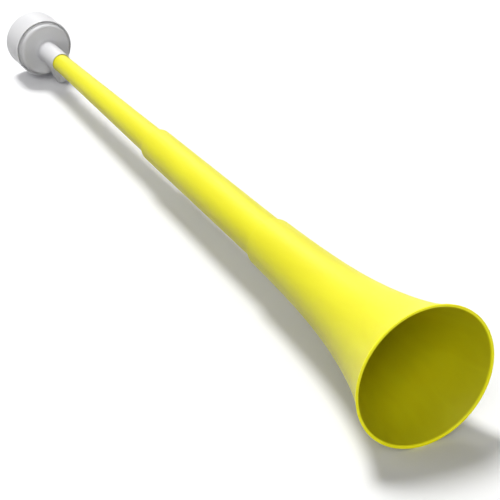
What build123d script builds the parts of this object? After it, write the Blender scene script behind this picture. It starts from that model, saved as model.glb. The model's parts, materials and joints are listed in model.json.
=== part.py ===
from build123d import *
import os
from math import atan2, cos, degrees, exp, radians, sin

# A telescopic stadium horn, lying on the ground on its bell's rim and its blow spout.
# Units are millimetres. Each piece is first made on the horn's own axis: +Z runs from the centre
# of the bell's rim towards the head, +X is up and +Y is the far side. The last part of the file
# lays the finished pieces on the ground plane.

# Driving dimensions
bell_radius = 48.4
total_length = 650.0
bell_step = 199.0
middle_step = 385.5
stem_mouth = 581.0
wall = 1.6
slide_gap = 0.3
tube_overlap = 14.0

# Outer radius of each yellow tube at its narrow end, and how much it widens per millimetre
bell_tube_radius = 18.1
bell_taper = 0.0296
middle_tube_radius = 13.2
middle_taper = 0.0153
narrow_tube_radius = 7.4
narrow_taper = 0.0185

# The bell's flare over its straight taper, and the lip that turns out further at the rim
flare_reach = 106.0
flare_spread = 108.0
lip_height = 5.8
lip_reach = 17.7
rim_wall = 2.0

# Collars and stop rings that end the slide
collar_length = 8.0
collar_lead_in = 2.0
stop_ring_length = 3.0
stop_ring_depth = 0.35

# Rounded edges: the bell's rim, the tubes' narrow ends, and the edges that don't show
rim_rounding = 0.6
end_rounding = 0.5
small_rounding = 0.3

# The head
narrow_tube_end = 606.0
socket_end = 606.5
stem_radius = 8.3
stem_root_radius = 8.6
socket_gap = 0.15
socket_lead_in = 0.35
socket_lead_length = 0.8
stem_fillet = 2.2
face_height = 615.9
face_thickness = 2.4
ring_radius = 22.0
ring_rounding = 2.6
ring_back = 624.0
shoulder_radius = 22.8
shoulder_start = 622.0
hub_end = 625.0
neck_radius = 21.2
neck_wall = 2.2
neck_end = 641.0
cap_radius = 24.6
cap_mouth = 621.0
cap_wall = 1.5
cap_plate = 2.0
cap_rounding = 3.2
mouth_chamfer = 1.1
mouth_chamfer_length = 1.6

# The thread between the neck and the cap
thread_pitch = 4.0
thread_turns = 2.5
thread_height = 1.2
thread_width = 1.3
thread_start = 2.5
thread_slope = 0.15
thread_root = 0.3

# The blow spout, square to the horn's axis
spout_height = 611.0
spout_tilt = 24.0
spout_radius = 6.2
spout_bore = 3.6
spout_reach = 29.5
spout_boss_radius = 6.4
spout_boss_root = 8.0
spout_boss_reach = 23.2
spigot_radius = 4.8
spigot_start = 16.2
spigot_relief = 0.2
port_radius = 2.8
port_offset = 12.9
port_relief = 0.4
spout_rounding = 0.8

# The pieces inside the head, from the tone tube back to the cap
tone_tube_outer = 7.4
tone_tube_inner = 5.9
tone_seat = 608.5
seat_lip = 0.1
fit_gap = 0.05
gasket_thickness = 0.8
film_thickness = 0.2
clamp_ring_radius = 21.8
clamp_ring_thickness = 1.8
film_front = neck_end + gasket_thickness
clamp_front = film_front + film_thickness + fit_gap

# The vent holes in the cap's back plate: one in the middle and a circle of them
vent_radius = 2.2
vent_circle = 11.0
vent_count = 6


def ring_between(inner, outer, low, high):
    """A plain ring about the horn's axis between two radii and two heights."""
    corners = [(inner, 0, low), (outer, 0, low), (outer, 0, high), (inner, 0, high)]
    return revolve(make_face(Polyline(*corners, close=True)), Axis.Z)


def turned(corners):
    """A solid turned about the horn's axis from an outline of (radius, height) corners."""
    points = [(radius, 0, height) for radius, height in corners]
    return revolve(make_face(Polyline(*points, close=True)), Axis.Z)


def round_edge(solid, radius, height, fillet_radius):
    """Round the circular edge of a turned solid that lies at this radius and height."""
    reach = 0.02
    edges = [
        edge
        for edge in solid.edges().filter_by(GeomType.CIRCLE)
        if abs(edge.radius - radius) < reach and abs(edge.arc_center.Z - height) < reach
    ]
    return fillet(edges, fillet_radius)


def bell_outer(height):
    """Outer radius of the bell section: a straight taper, plus a flare and a lip that die away."""
    straight = bell_tube_radius + bell_taper * (bell_step - height)
    flare_height = bell_radius - bell_tube_radius - bell_taper * bell_step - lip_height
    flare = flare_height * exp(-height / flare_reach - (height / flare_spread) ** 2)
    return straight + flare + lip_height * exp(-height / lip_reach)


def middle_outer(height):
    """Outer radius of the middle section's straight taper."""
    return middle_tube_radius + middle_taper * (middle_step - height)


def narrow_outer(height):
    """Outer radius of the narrow section's straight taper."""
    return narrow_tube_radius + narrow_taper * (stem_mouth - height)


def make_bell_section():
    """The flaring tube: a wall between two splines, and an inward collar at the narrow end."""
    flare_points = 9
    heights = [bell_step * (index / flare_points) ** 1.5 for index in range(flare_points + 1)]
    outer_points = [(bell_outer(height), 0, height) for height in heights]
    outer = Spline(*outer_points)
    lip = bell_outer(0) - rim_wall
    inner_points = [(bell_outer(height) - wall, 0, height) for height in heights[1:]]
    inner = Spline((lip, 0, 0), *inner_points)
    rim = Line((lip, 0, 0), outer_points[0])
    end = Line(inner_points[-1], outer_points[-1])
    shell = revolve(make_face([outer, inner, rim, end]), Axis.Z)
    collar_bore = middle_outer(bell_step) + slide_gap
    collar_start = bell_step - collar_length
    collar_outer = bell_outer(bell_step) - wall / 2
    collar = turned([
        (collar_bore, collar_start),
        (collar_outer, collar_start - collar_lead_in),
        (collar_outer, bell_step),
        (collar_bore, bell_step),
    ])
    section = shell + collar
    section = round_edge(section, bell_outer(bell_step), bell_step, end_rounding)
    section = round_edge(section, bell_radius, 0, rim_rounding)
    return round_edge(section, lip, 0, rim_rounding)


def make_sliding_section(outer, start, end, collar_bore):
    """A tapered tube with a stop ring at its wide end and, if asked, a collar at its narrow end."""
    stop_radius = outer(start) + stop_ring_depth
    stop_end = start + stop_ring_length
    outline = [
        (outer(start) - wall, start),
        (stop_radius, start),
        (stop_radius, stop_end),
        (outer(stop_end), stop_end),
        (outer(end), end),
    ]
    if collar_bore:
        collar_start = end - collar_length
        lead_start = collar_start - collar_lead_in
        outline += [
            (collar_bore, end),
            (collar_bore, collar_start),
            (outer(lead_start) - wall, lead_start),
        ]
    else:
        outline.append((outer(end) - wall, end))
    section = turned(outline)
    section = round_edge(section, stop_radius, start, small_rounding)
    return round_edge(section, outer(end), end, end_rounding)


def make_middle_section():
    """The middle tube, ending in a collar that guides the narrow one."""
    collar_bore = narrow_outer(middle_step) + slide_gap
    return make_sliding_section(middle_outer, bell_step - tube_overlap, middle_step, collar_bore)


def make_narrow_section():
    """The narrow tube, whose small end is pushed into the head's stem."""
    return make_sliding_section(narrow_outer, middle_step - tube_overlap, narrow_tube_end, None)


def across_the_horn(radius, near, far):
    """A round bar from one distance to another from the axis, in the blow spout's direction."""
    start = (-near * cos(radians(spout_tilt)), near * sin(radians(spout_tilt)), spout_height)
    outward = (-cos(radians(spout_tilt)), sin(radians(spout_tilt)), 0)
    bar = Cylinder(radius, far - near, align=(Align.CENTER, Align.CENTER, Align.MIN))
    return Plane(origin=start, z_dir=outward).location * bar


def thread_rib(root_radius, depth, start, turns):
    """A helical rib of trapezoid section. A positive depth stands outwards, a negative one in."""
    sunk = thread_root if depth > 0 else -thread_root
    half_root = thread_width / 2 + thread_slope
    half_crest = thread_width / 2 - thread_slope
    path = Helix(thread_pitch, thread_pitch * turns, root_radius, center=(0, 0, start))
    corners = [
        (root_radius - sunk, 0, start - half_root),
        (root_radius + depth, 0, start - half_crest),
        (root_radius + depth, 0, start + half_crest),
        (root_radius - sunk, 0, start + half_root),
    ]
    return sweep(make_face(Polyline(*corners, close=True)), path=path, is_frenet=True)


def make_head_base():
    """Stem, face, ring, shoulder and threaded neck in one, with the boss that holds the spout."""
    socket_mouth = narrow_outer(stem_mouth) + socket_gap
    socket_floor = narrow_outer(narrow_tube_end) + socket_gap
    hub_bore = tone_tube_outer + fit_gap
    lip_bore = tone_tube_inner - seat_lip
    neck_inner = neck_radius - neck_wall
    face_back = face_height + face_thickness
    body = turned([
        (socket_mouth + socket_lead_in, stem_mouth),
        (stem_radius, stem_mouth),
        (stem_root_radius, face_height),
        (ring_radius, face_height),
        (ring_radius, shoulder_start),
        (shoulder_radius, shoulder_start),
        (shoulder_radius, ring_back),
        (neck_radius, ring_back),
        (neck_radius, neck_end),
        (neck_inner, neck_end),
        (neck_inner, face_back),
        (stem_root_radius, face_back),
        (stem_root_radius, hub_end),
        (hub_bore, hub_end),
        (hub_bore, tone_seat),
        (lip_bore, tone_seat),
        (lip_bore, socket_end),
        (socket_floor, socket_end),
        (socket_mouth, stem_mouth + socket_lead_length),
    ])
    body = round_edge(body, stem_root_radius, face_height, stem_fillet)
    body = round_edge(body, ring_radius, face_height, ring_rounding)
    body = round_edge(body, shoulder_radius, ring_back, small_rounding)
    body = round_edge(body, stem_radius, stem_mouth, small_rounding)
    boss = across_the_horn(spout_boss_radius, 0, spout_boss_reach)
    body += boss - Pos(0, 0, spout_height) * Cylinder(spout_boss_root, 4 * spout_boss_radius)
    body -= across_the_horn(spigot_radius + fit_gap, spigot_start - spigot_relief, spout_boss_reach + 1)
    body -= across_the_horn(spout_bore, port_offset - port_radius - port_relief, spout_boss_reach)
    port_length = face_back + 1 - spout_height
    port = Cylinder(port_radius, port_length, align=(Align.CENTER, Align.CENTER, Align.MIN))
    port_x = -port_offset * cos(radians(spout_tilt))
    port_y = port_offset * sin(radians(spout_tilt))
    body -= Pos(port_x, port_y, spout_height) * port
    return body + thread_rib(neck_radius, thread_height, ring_back + thread_start, thread_turns)


def make_tone_tube():
    """The tube whose rear rim meets the film, pushed into the hub of the base."""
    tube = ring_between(tone_tube_inner, tone_tube_outer, tone_seat + fit_gap, film_front)
    return round_edge(tube, tone_tube_outer, film_front, small_rounding)


def make_blow_spout():
    """A short straight tube with a thinner spigot that plugs into the boss."""
    spigot = across_the_horn(spigot_radius, spigot_start, spout_boss_reach + 1)
    barrel = across_the_horn(spout_radius, spout_boss_reach + fit_gap, spout_reach)
    spout = spigot + barrel
    spout -= across_the_horn(spout_bore, spigot_start - 1, spout_reach + 1)
    outward = Vector(-cos(radians(spout_tilt)), sin(radians(spout_tilt)), 0)
    tip_edges = [
        edge for edge in spout.edges().filter_by(GeomType.CIRCLE)
        if edge.arc_center.dot(outward) > spout_reach - 0.1
    ]
    return fillet(tip_edges, spout_rounding)


def make_film_gasket():
    """The rubber ring on the neck's rear rim."""
    return ring_between(neck_radius - neck_wall, neck_radius, neck_end, film_front)


def make_film():
    """The thin disc over the neck and the tone tube."""
    return Pos(0, 0, film_front) * Cylinder(
        neck_radius, film_thickness, align=(Align.CENTER, Align.CENTER, Align.MIN)
    )


def make_clamp_ring():
    """The plain ring between the film and the turning cap."""
    inner = neck_radius - neck_wall
    ring = ring_between(inner, clamp_ring_radius, clamp_front, clamp_front + clamp_ring_thickness)
    return round_edge(ring, clamp_ring_radius, clamp_front, small_rounding)


def make_screw_cap():
    """The cup over the neck: a skirt with a female thread, a vented back plate and a press rib."""
    inner = cap_radius - cap_wall
    plate_front = total_length - cap_plate
    cup = turned([
        (inner + mouth_chamfer, cap_mouth),
        (cap_radius, cap_mouth),
        (cap_radius, total_length),
        (0, total_length),
        (0, plate_front),
        (inner, plate_front),
        (inner, cap_mouth + mouth_chamfer_length),
    ])
    cup = round_edge(cup, cap_radius, total_length, cap_rounding)
    cup = round_edge(cup, cap_radius, cap_mouth, small_rounding)
    press_start = clamp_front + clamp_ring_thickness + fit_gap
    cup += ring_between(neck_radius - neck_wall, neck_radius, press_start, plate_front + cap_plate / 4)
    vent = Cylinder(vent_radius, 4 * cap_plate)
    cup -= Pos(0, 0, total_length) * vent
    for spot in PolarLocations(vent_circle, vent_count):
        cup -= Pos(0, 0, total_length) * spot * vent
    rib_start = ring_back + thread_start + thread_pitch / 2
    return cup + thread_rib(inner, -thread_height, rib_start, thread_turns / 2)


pieces = {
    "bell_section": make_bell_section(),
    "middle_section": make_middle_section(),
    "narrow_section": make_narrow_section(),
    "head_base": make_head_base(),
    "tone_tube": make_tone_tube(),
    "blow_spout": make_blow_spout(),
    "film_gasket": make_film_gasket(),
    "film": make_film(),
    "clamp_ring": make_clamp_ring(),
    "screw_cap": make_screw_cap(),
}

# The lying pose: the line from the rim's lowest point to the spout's is level
spout_depth = spout_reach * cos(radians(spout_tilt)) + spout_radius * sin(radians(spout_tilt))
lean = atan2(bell_radius - spout_depth, spout_height)
towards_head = Vector(-cos(lean), 0, -sin(lean))
upwards = Vector(-sin(lean), 0, cos(lean))
leaned = Plane(origin=(0, 0, 0), x_dir=upwards, z_dir=towards_head).location
lying = {name: leaned * piece for name, piece in pieces.items()}
box = Compound([solid for piece in lying.values() for solid in piece.solids()]).bounding_box()
rim_centre = Vector(-box.center().X, 0, -box.min.Z)
ground = Pos(rim_centre.X, 0, rim_centre.Z)

os.makedirs("parts", exist_ok=True)
for name, piece in lying.items():
    export_step(ground * piece, f"parts/{name}.step")
print("lean in degrees", round(degrees(lean), 4))
print("centre of the rim", [round(value, 4) for value in rim_centre])
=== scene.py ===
import json
from math import cos, radians, sin

import bpy
import numpy as np
from mathutils import Matrix, Vector


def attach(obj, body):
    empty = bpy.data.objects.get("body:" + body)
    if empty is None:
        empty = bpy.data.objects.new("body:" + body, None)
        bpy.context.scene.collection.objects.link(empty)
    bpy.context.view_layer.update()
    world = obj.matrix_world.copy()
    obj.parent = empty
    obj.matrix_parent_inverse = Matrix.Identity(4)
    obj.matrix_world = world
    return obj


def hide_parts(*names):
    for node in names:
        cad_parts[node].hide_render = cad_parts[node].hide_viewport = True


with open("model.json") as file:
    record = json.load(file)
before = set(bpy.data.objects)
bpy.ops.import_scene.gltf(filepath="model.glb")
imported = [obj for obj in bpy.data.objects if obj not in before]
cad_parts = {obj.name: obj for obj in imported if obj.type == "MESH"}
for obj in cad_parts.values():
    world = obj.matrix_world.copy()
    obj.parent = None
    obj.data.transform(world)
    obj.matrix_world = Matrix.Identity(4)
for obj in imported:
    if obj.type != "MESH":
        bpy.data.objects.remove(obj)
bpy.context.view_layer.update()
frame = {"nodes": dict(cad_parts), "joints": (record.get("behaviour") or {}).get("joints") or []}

# The camera stands before the bell, on the near side and above the horn, and is held level.
# The bell's and the head's ellipses in the photograph fix its lens, and where the centre of the
# bell's rim lies from it. All heights along the horn start at that centre, and run to the head.
MM = 0.001
SWIVEL_HEIGHT = 595 * MM
VIEW_TURN, VIEW_DROP = radians(27.0), radians(28.81)
RIM_RIGHT, RIM_BELOW, RIM_AHEAD = 104.2 * MM, 75.5 * MM, 1067.3 * MM
SENSOR_WIDTH = 36.0
FOCAL_LENGTHS_PER_FRAME = 3.6165
FARTHEST_SEEN = 50.0

swivel = next(joint for joint in frame["joints"] if joint["name"] == "head_swivel")
to_head = Vector(swivel["axis"]).normalized()
far_side = Vector((0, 1, 0))
up_side = far_side.cross(to_head)
rim_centre = Vector(swivel["pos_m"]) - to_head * SWIVEL_HEIGHT

ahead = Vector((-cos(VIEW_DROP) * cos(VIEW_TURN), cos(VIEW_DROP) * sin(VIEW_TURN), -sin(VIEW_DROP)))
right = ahead.cross(Vector((0, 0, 1))).normalized()
above = right.cross(ahead)
camera_data = bpy.data.cameras.new("camera")
camera_data.sensor_width = SENSOR_WIDTH
camera_data.lens = SENSOR_WIDTH * FOCAL_LENGTHS_PER_FRAME
camera_data.clip_end = FARTHEST_SEEN
camera = bpy.data.objects.new("camera", camera_data)
bpy.context.scene.collection.objects.link(camera)
eye = rim_centre - right * RIM_RIGHT + above * RIM_BELOW - ahead * RIM_AHEAD
camera.matrix_world = Matrix.Translation(eye) @ Matrix((right, above, -ahead)).transposed().to_4x4()
bpy.context.scene.camera = camera


# Bell section: the widest of three telescoping tubes, flaring to the bell. It is injection-moulded
# polypropylene, 1.6 mm thick, with a rounded rim, two fine parting lines where the halves of the
# tool met, and an inward collar at its narrow end that guides the next tube.

# The tubes' sizes are in millimetres, and turned_tube makes them metres.
BELL_RADIUS, BELL_STEP = 48.4, 199.0
BELL_TUBE_RADIUS, BELL_TAPER = 18.1, 0.0296
FLARE_REACH, FLARE_SPREAD = 106.0, 108.0
LIP_HEIGHT, LIP_REACH = 5.8, 17.7
WALL, RIM_WALL, RIM_FADE = 1.6, 2.0, 3.0
RIM_ROUNDING, END_ROUNDING = 0.6, 0.5
COLLAR_LENGTH, COLLAR_LEAD, SLIDE_GAP = 8.0, 1.4, 0.3
MIDDLE_STEP, MIDDLE_TUBE_RADIUS, MIDDLE_TAPER = 385.5, 13.2, 0.0153
SEAM_HEIGHT, SEAM_WIDTH, SEAM_FADE = 0.05, 0.35, 6.0
COLUMNS, CROWDING = 248, 0.44
FIRST_RING, BELL_OUTER_RINGS, BELL_INNER_RINGS = 1.6, 112, 100
ARC_POINTS, SAME_PLACE = 6, 1e-6
SHARP_EDGE = radians(35)


def with_round_corners(corners):
    """A closed outline of (radius, height, rounding) corners, each turned into an arc.

    The arc is the rational quadratic curve between the corner's two tangent points, with the
    corner as its middle control point and the sine of half the corner's angle as its weight.
    """
    corners = np.array(corners, float)
    place, rounding = corners[:, :2], corners[:, 2:]
    before, after = np.roll(place, 1, 0) - place, np.roll(place, -1, 0) - place
    before /= np.linalg.norm(before, axis=1, keepdims=True)
    after /= np.linalg.norm(after, axis=1, keepdims=True)
    half = np.arccos(np.clip((before * after).sum(1, keepdims=True), -1, 1)) / 2
    reach = rounding / np.tan(half)
    share = np.linspace(0, 1, ARC_POINTS)[:, None, None]
    ends = (1 - share) ** 2, 2 * share * (1 - share) * np.sin(half), share ** 2
    arcs = ends[0] * (place + before * reach) + ends[1] * place + ends[2] * (place + after * reach)
    points = (arcs / sum(ends)).transpose(1, 0, 2).reshape(-1, 2)
    distinct = np.linalg.norm(points - np.roll(points, 1, 0), axis=1) > SAME_PLACE
    return points[distinct]


def turned_tube(name, corners, outer_radius, low, high):
    """A closed mesh from carrying the outline round the horn's axis.

    Each point is rim_centre + height * to_head + radius * (cos(angle) * up + sin(angle) * far).
    The angle is a quarter turn plus u - crowding * sin(2u), which crowds the columns at the two
    parting lines, on the near and far sides, where its cosine is 0. There the outer wall's radius
    grows by seam_height * exp(-(radius * cos(angle) / seam_width)^2), which fades to nothing
    towards the tube's ends.
    """
    radius, height = with_round_corners(corners).T
    turn = np.arange(COLUMNS) / COLUMNS * 2 * np.pi
    angle = (turn - CROWDING * np.sin(2 * turn) + np.pi / 2)[:, None]
    outside = radius > outer_radius(height) - WALL / 2
    fade = np.clip(np.minimum(height - low, high - height) / SEAM_FADE, 0, 1)
    seam = SEAM_HEIGHT * outside * fade * np.exp(-(radius * np.cos(angle) / SEAM_WIDTH) ** 2)
    radius = (radius + seam) * MM
    height = np.broadcast_to(height * MM, radius.shape)
    across = np.cos(angle)[..., None] * np.array(up_side) + np.sin(angle)[..., None] * np.array(far_side)
    points = np.array(rim_centre) + height[..., None] * np.array(to_head) + radius[..., None] * across
    at = np.arange(radius.size).reshape(radius.shape)
    beside, along = np.roll(at, -1, 0), np.roll(at, -1, 1)
    quads = np.stack([at, beside, np.roll(beside, -1, 1), along], -1).reshape(-1, 4)
    mesh = bpy.data.meshes.new(name)
    mesh.from_pydata(points.reshape(-1, 3), [], quads)
    mesh.shade_smooth()
    mesh.set_sharp_from_angle(angle=SHARP_EDGE)
    tube = bpy.data.objects.new(name, mesh)
    bpy.context.scene.collection.objects.link(tube)
    return tube


def bell_outer(height):
    """Outer radius: a straight taper, plus a flare and a lip that die away from the rim.

    The flare falls as exp(-height / reach - (height / spread)^2), the lip as exp(-height / reach).
    """
    straight = BELL_TUBE_RADIUS + BELL_TAPER * (BELL_STEP - height)
    flare_height = BELL_RADIUS - BELL_TUBE_RADIUS - BELL_TAPER * BELL_STEP - LIP_HEIGHT
    flare = flare_height * np.exp(-height / FLARE_REACH - (height / FLARE_SPREAD) ** 2)
    return straight + flare + LIP_HEIGHT * np.exp(-height / LIP_REACH)


def middle_outer(height):
    """Outer radius of the tube that slides in the collar: a straight taper."""
    return MIDDLE_TUBE_RADIUS + MIDDLE_TAPER * (MIDDLE_STEP - height)


def rings(outer_radius, low, high, count, depth=0.0):
    """Square corners spaced evenly along a wall, at a depth under its outer radius."""
    height = np.linspace(low, high, count)
    return np.stack([outer_radius(height) - depth, height, np.zeros(count)], -1)


def linear(code):
    """An sRGB hex colour as linear red, green, blue and alpha, by the curve that defines sRGB."""
    parts = np.array([int(code[at:at + 2], 16) for at in (0, 2, 4)]) / 255
    low, high = parts / 12.92, ((parts + 0.055) / 1.055) ** 2.4
    return (*np.where(parts <= 0.04045, low, high).tolist(), 1.0)


def add(tree, kind, settings=None, inputs=None):
    """Add a node, set its own settings, and give each named input a value or a link."""
    node = tree.nodes.new(kind)
    for name, value in (settings or {}).items():
        setattr(node, name, value)
    for name, value in (inputs or {}).items():
        if isinstance(value, bpy.types.NodeSocket):
            tree.links.new(value, node.inputs[name])
        else:
            node.inputs[name].default_value = value
    return node


def start_material(name, finish):
    """A new material with only a principled shader, which gets the finish's plain values."""
    material = bpy.data.materials.new(name)
    material.use_nodes = True
    tree = material.node_tree
    tree.nodes.clear()
    shader = add(tree, "ShaderNodeBsdfPrincipled", inputs=finish)
    add(tree, "ShaderNodeOutputMaterial", inputs={"Surface": shader.outputs[0]})
    return material, tree, shader


def along_the_horn(tree, stretch=(1, 1, 1)):
    """Object coordinates from the rim's centre, turned so that Z runs along the horn."""
    place = add(tree, "ShaderNodeTexCoord").outputs["Object"]
    moved = add(tree, "ShaderNodeVectorMath", {"operation": "SUBTRACT"}, {0: place, 1: rim_centre})
    turn = Vector((0, 0, 1)).rotation_difference(to_head).inverted().to_euler()
    turned = add(tree, "ShaderNodeMapping", inputs={"Vector": moved.outputs[0], "Rotation": turn})
    scaled = add(tree, "ShaderNodeMapping", inputs={"Vector": turned.outputs[0], "Scale": stretch})
    return scaled.outputs[0]


# Polypropylene from a polished tool has a satin skin: the pigment swirls a little where the melt
# ran down the tube, the skin is very slightly rippled, and handling leaves faint lengthwise rubs,
# which are drawn wider than they are so that they show. The rim's edge is made to glow faintly in
# the pigment's colour: a painted highlight, not light from any lamp.
PIGMENT_DEEP, PIGMENT_PALE = "F3EC12", "F9F41C"
SWIRL_WIDTH, RIPPLE_WIDTH, RUB_WIDTH = 14 * MM, 2.2 * MM, 0.7 * MM
SWIRLS_DRAWN_OUT, RUBS_DRAWN_OUT = (1, 1, 0.15), (1, 1, 0.02)
SATIN_ROUGHNESS, RIPPLE_DEPTH = 0.42, 0.06 * MM
PAINTED_RIM_GLOW, PAINTED_GLOW_FULL, PAINTED_GLOW_GONE = 0.42, 0.3 * MM, 1.5 * MM


def satin_polypropylene(name, rubbed):
    """Yellow polypropylene. rubbed is how much duller the lengthwise rubs leave the skin."""
    material, tree, shader = start_material(name, {
        "IOR": 1.49, "Specular IOR Level": 0.4, "Subsurface Weight": 0.06,
        "Subsurface Radius": (1.0, 0.8, 0.1), "Subsurface Scale": 1.0 * MM,
    })
    flow = add(tree, "ShaderNodeTexNoise", inputs={
        "Vector": along_the_horn(tree, SWIRLS_DRAWN_OUT), "Scale": 1 / SWIRL_WIDTH, "Detail": 3.0,
        "Distortion": 0.6,
    })
    pigment = add(tree, "ShaderNodeValToRGB", inputs={"Fac": flow.outputs[0]})
    deep, pale = pigment.color_ramp.elements
    deep.position = 0.3
    deep.color = linear(PIGMENT_DEEP)
    pale.position = 0.7
    pale.color = linear(PIGMENT_PALE)
    ripple = add(tree, "ShaderNodeTexNoise", inputs={
        "Vector": along_the_horn(tree), "Scale": 1 / RIPPLE_WIDTH, "Detail": 2.0,
    })
    rubs = add(tree, "ShaderNodeTexNoise", inputs={
        "Vector": along_the_horn(tree, RUBS_DRAWN_OUT), "Scale": 1 / RUB_WIDTH, "Detail": 4.0,
    })
    dullness = add(tree, "ShaderNodeMapRange", inputs={
        "Value": rubs.outputs[0], "From Min": 0.45, "From Max": 0.75,
        "To Min": SATIN_ROUGHNESS, "To Max": SATIN_ROUGHNESS + rubbed,
    })
    relief = add(tree, "ShaderNodeMath", {"operation": "MULTIPLY_ADD"}, {
        0: rubs.outputs[0], 1: -rubbed, 2: ripple.outputs[0],
    })
    skin = add(tree, "ShaderNodeBump", inputs={
        "Height": relief.outputs[0], "Strength": 0.12, "Distance": RIPPLE_DEPTH,
    })
    # Painted highlight: the rim's edge glows in the pigment's colour, fully within 0.3 mm of the rim and
    # not at all beyond 1.5 mm.
    from_rim = add(tree, "ShaderNodeSeparateXYZ", inputs={0: along_the_horn(tree)})
    painted_rim_glow_strength = add(tree, "ShaderNodeMapRange", inputs={
        "Value": from_rim.outputs["Z"], "From Min": PAINTED_GLOW_FULL, "From Max": PAINTED_GLOW_GONE,
        "To Min": PAINTED_RIM_GLOW, "To Max": 0.0,
    })
    tree.links.new(pigment.outputs[0], shader.inputs["Base Color"])
    tree.links.new(dullness.outputs[0], shader.inputs["Roughness"])
    tree.links.new(skin.outputs[0], shader.inputs["Normal"])
    tree.links.new(pigment.outputs[0], shader.inputs["Emission Color"])
    tree.links.new(painted_rim_glow_strength.outputs[0], shader.inputs["Emission Strength"])
    return material


bell_yellow = satin_polypropylene("satin_yellow_polypropylene", rubbed=0.05)
rim_bore = bell_outer(0) - RIM_WALL
bell_collar_bore = middle_outer(BELL_STEP) + SLIDE_GAP
inner_end = BELL_STEP - COLLAR_LENGTH - COLLAR_LEAD
inner_rings = rings(bell_outer, inner_end, FIRST_RING, BELL_INNER_RINGS, WALL)
inner_rings[:, 0] -= (RIM_WALL - WALL) * np.exp(-inner_rings[:, 1] / RIM_FADE)
bell_corners = np.vstack([
    (BELL_RADIUS, 0, RIM_ROUNDING),
    rings(bell_outer, FIRST_RING, BELL_STEP - FIRST_RING, BELL_OUTER_RINGS),
    (bell_outer(BELL_STEP), BELL_STEP, END_ROUNDING),
    (bell_collar_bore, BELL_STEP, 0),
    (bell_collar_bore, BELL_STEP - COLLAR_LENGTH, 0),
    inner_rings,
    (rim_bore, 0, RIM_ROUNDING),
])
bell = turned_tube("bell_section_skin", bell_corners, bell_outer, 0, BELL_STEP)
bell.data.materials.append(bell_yellow)
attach(bell, "bell")
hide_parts("bell_section")

# Middle section: the second polypropylene tube. A thicker stop ring at its wide end catches on the
# bell section's collar when the horn is pulled out, and its own collar guides the narrow tube. Its
# skin is rubbed dull in fine lengthwise lines where it slides.
NARROW_TUBE_RADIUS, NARROW_TAPER, STEM_MOUTH = 7.4, 0.0185, 581.0
TUBE_OVERLAP, STOP_LENGTH, STOP_DEPTH, STOP_ROUNDING = 14.0, 3.0, 0.35, 0.3
SLIDING_OUTER_RINGS, SLIDING_INNER_RINGS = 48, 24


def narrow_outer(height):
    """Outer radius of the narrow tube: a straight taper."""
    return NARROW_TUBE_RADIUS + NARROW_TAPER * (STEM_MOUTH - height)


def sliding_corners(outer_radius, start, end, bore_corners):
    """The outline of a sliding tube, from its stop ring to its narrow end and back inside."""
    stop_radius = outer_radius(start) + STOP_DEPTH
    inner_end = end - COLLAR_LENGTH - COLLAR_LEAD
    return np.vstack([
        (stop_radius, start, STOP_ROUNDING),
        (stop_radius, start + STOP_LENGTH, 0),
        rings(outer_radius, start + STOP_LENGTH, end - FIRST_RING, SLIDING_OUTER_RINGS),
        (outer_radius(end), end, END_ROUNDING),
        *bore_corners,
        rings(outer_radius, inner_end, start + FIRST_RING, SLIDING_INNER_RINGS, WALL),
        (outer_radius(start) - WALL, start, 0),
    ])


rubbed_yellow = satin_polypropylene("rubbed_yellow_polypropylene", rubbed=0.12)
middle_start = BELL_STEP - TUBE_OVERLAP
middle_bore = narrow_outer(MIDDLE_STEP) + SLIDE_GAP
middle_collar = [(middle_bore, MIDDLE_STEP, 0), (middle_bore, MIDDLE_STEP - COLLAR_LENGTH, 0)]
middle_corners = sliding_corners(middle_outer, middle_start, MIDDLE_STEP, middle_collar)
middle = turned_tube("middle_section_skin", middle_corners, middle_outer, middle_start, MIDDLE_STEP)
middle.data.materials.append(rubbed_yellow)
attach(middle, "middle")
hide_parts("middle_section")

# Narrow section: the third polypropylene tube, with a stop ring as well. Its plain small end is
# pushed into the stem of the head.
NARROW_END = 606.0
narrow_start = MIDDLE_STEP - TUBE_OVERLAP
narrow_mouth = [(narrow_outer(NARROW_END) - WALL, NARROW_END, 0)]
narrow_corners = sliding_corners(narrow_outer, narrow_start, NARROW_END, narrow_mouth)
narrow = turned_tube("narrow_section_skin", narrow_corners, narrow_outer, narrow_start, NARROW_END)
narrow.data.materials.append(rubbed_yellow)
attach(narrow, "narrow")
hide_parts("narrow_section")

# Base of the head: stem, round face, ring and threaded neck in one, moulded in white ABS with a
# boss for the spout. It is pushed onto the end of the narrow section, and turns on it.

# ABS comes out of the tool a shade off pure white and nearly as smooth as the steel, with a fine
# even grain that softens its gloss. The grain is drawn several times too coarse, so that it shows.
CLOUD_WIDTH, GRAIN_DEPTH, GLOSS_SPREAD = 18 * MM, 0.03 * MM, 0.05


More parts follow.
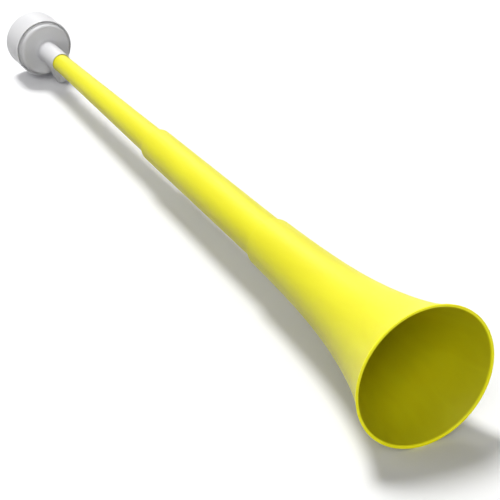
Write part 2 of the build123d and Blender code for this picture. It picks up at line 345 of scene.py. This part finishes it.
def moulded_abs(name, pale, shade, roughness, grain):
    """White ABS in two close shades. roughness is the skin's, and grain is its pitch."""
    material, tree, shader = start_material(name, {"IOR": 1.53, "Specular IOR Level": 0.4})
    clouds = add(tree, "ShaderNodeTexNoise", inputs={
        "Vector": along_the_horn(tree), "Scale": 1 / CLOUD_WIDTH, "Detail": 2.0,
    })
    tint = add(tree, "ShaderNodeValToRGB", inputs={"Fac": clouds.outputs[0]})
    darker, lighter = tint.color_ramp.elements
    darker.position = 0.35
    darker.color = linear(shade)
    lighter.position = 0.65
    lighter.color = linear(pale)
    fine = add(tree, "ShaderNodeTexNoise", inputs={
        "Vector": along_the_horn(tree), "Scale": 1 / grain, "Detail": 2.0,
    })
    polish = add(tree, "ShaderNodeMapRange", inputs={
        "Value": fine.outputs[0], "To Min": roughness - GLOSS_SPREAD, "To Max": roughness + GLOSS_SPREAD,
    })
    skin = add(tree, "ShaderNodeBump", inputs={
        "Height": fine.outputs[0], "Strength": 0.10, "Distance": GRAIN_DEPTH,
    })
    tree.links.new(tint.outputs[0], shader.inputs["Base Color"])
    tree.links.new(polish.outputs[0], shader.inputs["Roughness"])
    tree.links.new(skin.outputs[0], shader.inputs["Normal"])
    return material


def dress(node, material):
    """Give a carried-over solid its material."""
    mesh = frame["nodes"][node].data
    mesh.materials.clear()
    mesh.materials.append(material)


white_abs = moulded_abs(
    "moulded_white_abs", pale="EAEAEB", shade="E6E6E8", roughness=0.36, grain=0.8 * MM,
)
dress("head_base", white_abs)

# Blow spout: a short white ABS tube with a round lip, plugged into the boss of the base. It comes
# from a polished tool, because it goes to the mouth.
polished_abs = moulded_abs(
    "polished_white_abs", pale="EEEEEE", shade="EBEBEC", roughness=0.24, grain=1.5 * MM,
)
dress("blow_spout", polished_abs)

# Tone tube: a white ABS tube in the hub of the base. Its rear rim, on which the film beats, is
# polished too.
dress("tone_tube", polished_abs)

# Film gasket: a flat ring of black nitrile rubber on the neck's rim. Die-cut rubber is matt, with
# a fine pebbled skin, drawn coarser than it is. The pebbles' hollows are painted darker than their
# tops: painted shade.
PEBBLE_HEIGHT = 0.04 * MM


def cut_rubber(name, pitch):
    """Black nitrile rubber with a pebbled skin of the given pitch."""
    material, tree, shader = start_material(name, {"Roughness": 0.72, "IOR": 1.52})
    pebbles = add(tree, "ShaderNodeTexVoronoi", inputs={
        "Vector": along_the_horn(tree), "Scale": 1 / pitch,
    })
    # Painted shade: the pebbles' hollows are coloured darker than their tops.
    pebble_painted_shade = add(tree, "ShaderNodeValToRGB", inputs={"Fac": pebbles.outputs["Distance"]})
    hollow, top = pebble_painted_shade.color_ramp.elements
    hollow.color = linear("191919")
    top.color = linear("272727")
    skin = add(tree, "ShaderNodeBump", inputs={
        "Height": pebbles.outputs["Distance"], "Strength": 0.3, "Distance": PEBBLE_HEIGHT,
    })
    tree.links.new(pebble_painted_shade.outputs[0], shader.inputs["Base Color"])
    tree.links.new(skin.outputs[0], shader.inputs["Normal"])
    return material


dress("film_gasket", cut_rubber("black_nitrile_rubber", pitch=0.5 * MM))

# Film: a thin disc of clear polyester that the breath sets buzzing. Drawn polyester film is glassy,
# and it puckers a little where the cap clamps it.
PUCKER_HEIGHT = 0.2 * MM


def clear_film(name, pucker):
    """Clear polyester film with shallow puckers of the given width."""
    material, tree, shader = start_material(name, {
        "Base Color": linear("EEF2F4"), "Transmission Weight": 0.85, "IOR": 1.57,
    })
    creases = add(tree, "ShaderNodeTexNoise", inputs={
        "Vector": along_the_horn(tree), "Scale": 1 / pucker, "Detail": 1.0,
    })
    skin = add(tree, "ShaderNodeBump", inputs={
        "Height": creases.outputs[0], "Strength": 0.25, "Distance": PUCKER_HEIGHT,
    })
    haze = add(tree, "ShaderNodeMapRange", inputs={
        "Value": creases.outputs[0], "To Min": 0.05, "To Max": 0.14,
    })
    tree.links.new(skin.outputs[0], shader.inputs["Normal"])
    tree.links.new(haze.outputs[0], shader.inputs["Roughness"])
    return material


dress("film", clear_film("clear_polyester_film", pucker=5 * MM))

# Clamp ring: a plain white ABS ring between the film and the turning cap, so that the cap doesn't
# drag the film round.
dress("clamp_ring", white_abs)

# Screw cap: a white ABS cup with a female thread and vent holes in its back, screwed over the neck.
# Hands polish its skirt, so it shines a little more than the base.
handled_abs = moulded_abs(
    "handled_white_abs", pale="EAEAEB", shade="E7E7E9", roughness=0.32, grain=1.0 * MM,
)
dress("screw_cap", handled_abs)

# The floor is a plain white sheet under the horn. Its own colour makes it white to the camera and
# in reflections, and a dark grey to the light that it throws back up. To the camera it also glows
# very faintly, which gives its shadows the photograph's tone.
FLOOR_REACH = 8.0
FLOOR_SHOWN, FLOOR_BOUNCE = 0.98, 0.25
FLOOR_GLOW, GLOW_COLOUR = 0.06, "EAECFF"

floor_mesh = bpy.data.meshes.new("floor")
floor_corners = FLOOR_REACH * np.array([(-1, -1, 0), (1, -1, 0), (1, 1, 0), (-1, 1, 0)])
floor_mesh.from_pydata(floor_corners, [], [(0, 1, 2, 3)])
floor = bpy.data.objects.new("floor", floor_mesh)
bpy.context.scene.collection.objects.link(floor)


def shown_rays(tree):
    """1 for rays of the camera, a reflection or a clear piece, and 0 for scattered light."""
    path = add(tree, "ShaderNodeLightPath")
    either = add(tree, "ShaderNodeMath", {"operation": "MAXIMUM"}, {
        0: path.outputs["Is Camera Ray"], 1: path.outputs["Is Glossy Ray"],
    })
    any_of_them = add(tree, "ShaderNodeMath", {"operation": "MAXIMUM"}, {
        0: either.outputs[0], 1: path.outputs["Is Transmission Ray"],
    })
    return any_of_them.outputs[0]


floor_white, tree, shader = start_material("white_floor", {
    "Roughness": 1.0, "Specular IOR Level": 0.0, "Emission Color": linear(GLOW_COLOUR),
})
shown = shown_rays(tree)
albedo = add(tree, "ShaderNodeMapRange", inputs={
    "Value": shown, "To Min": FLOOR_BOUNCE, "To Max": FLOOR_SHOWN,
})
glow = add(tree, "ShaderNodeMath", {"operation": "MULTIPLY"}, {0: shown, 1: FLOOR_GLOW})
tree.links.new(albedo.outputs[0], shader.inputs["Base Color"])
tree.links.new(glow.outputs[0], shader.inputs["Emission Strength"])
floor_mesh.materials.append(floor_white)

# The world is a white room, nearly dark to the horn and a little brighter overhead. To the camera,
# in reflections and through the film it is plain white.
SKY_ROUND, SKY_OVERHEAD, SHOWN_WHITE = 0.02, 0.05, 1.0
OVERHEAD_FALLOFF = 2.0

world = bpy.data.worlds.new("studio")
bpy.context.scene.world = world
world.use_nodes = True
tree = world.node_tree
tree.nodes.clear()
way = add(tree, "ShaderNodeTexCoord").outputs["Generated"]
direction = add(tree, "ShaderNodeSeparateXYZ", inputs={0: way})
upward = add(tree, "ShaderNodeMath", {"operation": "MAXIMUM"}, {0: direction.outputs["Z"], 1: 0.0})
overhead = add(tree, "ShaderNodeMath", {"operation": "POWER"}, {
    0: upward.outputs[0], 1: OVERHEAD_FALLOFF,
})
room_light = add(tree, "ShaderNodeMath", {"operation": "MULTIPLY_ADD"}, {
    0: overhead.outputs[0], 1: SKY_OVERHEAD, 2: SKY_ROUND,
})
# Inputs 2 and 3 of a Mix node are the two numbers that it mixes.
level = add(tree, "ShaderNodeMix", {"data_type": "FLOAT"}, {
    0: shown_rays(tree), 2: room_light.outputs[0], 3: SHOWN_WHITE,
})
sky = add(tree, "ShaderNodeBackground", inputs={"Color": (1, 1, 1, 1), "Strength": level.outputs[0]})
add(tree, "ShaderNodeOutputWorld", inputs={"Surface": sky.outputs[0]})

# The lamps are wide and soft, as a photographer's are. The key lamp stands high behind the head, so
# the shadows fall towards the camera. The rim and side lamps light the two flanks, the front lamp
# the bell's inside, and two narrow ones, one from each side, the face of the head.
FACE_CENTRE = (-0.29, 0, 0.032)
FACE_LAMP_RADIUS, FACE_CONE, CONE_SOFTNESS = 0.12, 9.5, 0.6


def lamp(name, azimuth, elevation, strength, width):
    """A far lamp at a compass angle from +X and a height, both in degrees, as is its width."""
    data = bpy.data.lights.new(name, "SUN")
    data.energy = strength
    data.angle = radians(width)
    turn, climb = radians(azimuth), radians(elevation)
    source = Vector((cos(climb) * cos(turn), cos(climb) * sin(turn), sin(climb)))
    obj = bpy.data.objects.new(name, data)
    obj.rotation_euler = source.to_track_quat("Z", "Y").to_euler()
    bpy.context.scene.collection.objects.link(obj)


def face_lamp(name, place, watts):
    """A near lamp with a narrow, soft-edged cone, turned to the face of the head."""
    data = bpy.data.lights.new(name, "SPOT")
    data.energy = watts
    data.shadow_soft_size = FACE_LAMP_RADIUS
    data.spot_size = radians(FACE_CONE)
    data.spot_blend = CONE_SOFTNESS
    obj = bpy.data.objects.new(name, data)
    obj.location = place
    obj.rotation_euler = (Vector(place) - Vector(FACE_CENTRE)).to_track_quat("Z", "Y").to_euler()
    bpy.context.scene.collection.objects.link(obj)


lamp("key", azimuth=186, elevation=65, strength=2.35, width=18)
lamp("rim", azimuth=160, elevation=38, strength=0.5, width=25)
lamp("side", azimuth=255, elevation=40, strength=0.45, width=40)
lamp("front", azimuth=-38, elevation=42, strength=0.64, width=28)
face_lamp("near_face", place=(0.45, -0.27, 0.12), watts=13.0)
face_lamp("far_face", place=(0.4, 0.3, 0.2), watts=11.0)

bpy.context.scene.view_settings.view_transform = "Standard"
